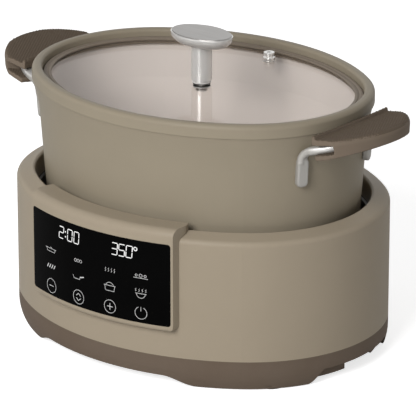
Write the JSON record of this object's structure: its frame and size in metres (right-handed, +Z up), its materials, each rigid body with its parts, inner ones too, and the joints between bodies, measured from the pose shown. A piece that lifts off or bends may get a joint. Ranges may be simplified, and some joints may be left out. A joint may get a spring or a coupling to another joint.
{
  "type": "multicooker",
  "caption": "Oval countertop multicooker: heated base with a front touch panel, lift-out flared pot with bow handles, and a flat glass lid with a steel knob.",
  "frame": {"origin": "on the table, under the centre of the base", "axes": "+X to the right seen from the front, +Y to the back, +Z up"},
  "size_m": [0.4078, 0.2866, 0.2626],
  "materials": {
    "shell_taupe": "satin moulded",
    "panel_black": "gloss with lit marks",
    "display_white": "plain",
    "board": "glass fibre laminate",
    "screw_steel": "plated",
    "tray_brown": "fine texture",
    "black_rubber": "matt",
    "well_sheet": "drawn sheet",
    "plate_aluminium": "cast and turned",
    "element_sheath": "oxidised sheath",
    "component_black": "plain",
    "lead_red": "silicone sleeve",
    "ribbon_grey": "plain",
    "pot_taupe": "cast, with a satin taupe coating",
    "polished_steel": "polished stainless steel",
    "brushed_disc": "brushed along its length",
    "grip_brown": "silicone, hatched on top",
    "lid_glass": "clear toughened glass",
    "band_taupe": "satin silicone"
  },
  "bodies": {
    "base": {"base_shell": "shell_taupe", "control_housing": "shell_taupe", "touch_panel": "panel_black", "display_modules": "display_white", "control_board": "board", "board_screws": "screw_steel", "bottom_tray": "tray_brown", "rubber_feet": "black_rubber", "tray_screws": "screw_steel", "inner_well": "well_sheet", "well_seal": "black_rubber", "well_screws": "screw_steel", "heating_plate": "plate_aluminium", "heating_element": "element_sheath", "plate_posts": "screw_steel", "sensor_guide": "screw_steel", "sensor_spring": "screw_steel", "thermal_fuse": "display_white", "power_board": "board", "power_components": "component_black", "element_leads": "lead_red", "ribbon_cable": "ribbon_grey", "cord_gland": "black_rubber"},
    "sensor": {"sensor_cap": "plate_aluminium", "sensor_thermistor": "component_black"},
    "pot": {"cooking_pot": "pot_taupe", "right_handle_bar": "polished_steel", "left_handle_bar": "polished_steel", "right_grip": "grip_brown", "left_grip": "grip_brown"},
    "lid": {"lid_glass": "lid_glass", "lid_rim": "band_taupe", "steam_vent": "polished_steel", "knob_cap": "polished_steel", "knob_top_disc": "brushed_disc", "knob_stem": "polished_steel", "knob_collar": "polished_steel", "knob_gasket": "black_rubber", "knob_washer": "screw_steel", "knob_screw": "screw_steel"}
  },
  "joints": [
    {"name": "pot_lift", "type": "slide", "parent": "base", "child": "pot", "axis": [0, 0, 1], "range_m": [0, 0.11]},
    {"name": "lid_lift", "type": "slide", "parent": "pot", "child": "lid", "axis": [0, 0, 1], "range_m": [0, 0.06]},
    {"name": "sensor_press", "type": "slide", "parent": "base", "child": "sensor", "axis": [0, 0, 1], "range_m": [-0.003, 0], "stiffness_N_per_m": 300, "springref_m": 0.004, "deforming": ["sensor_spring"]}
  ]
}
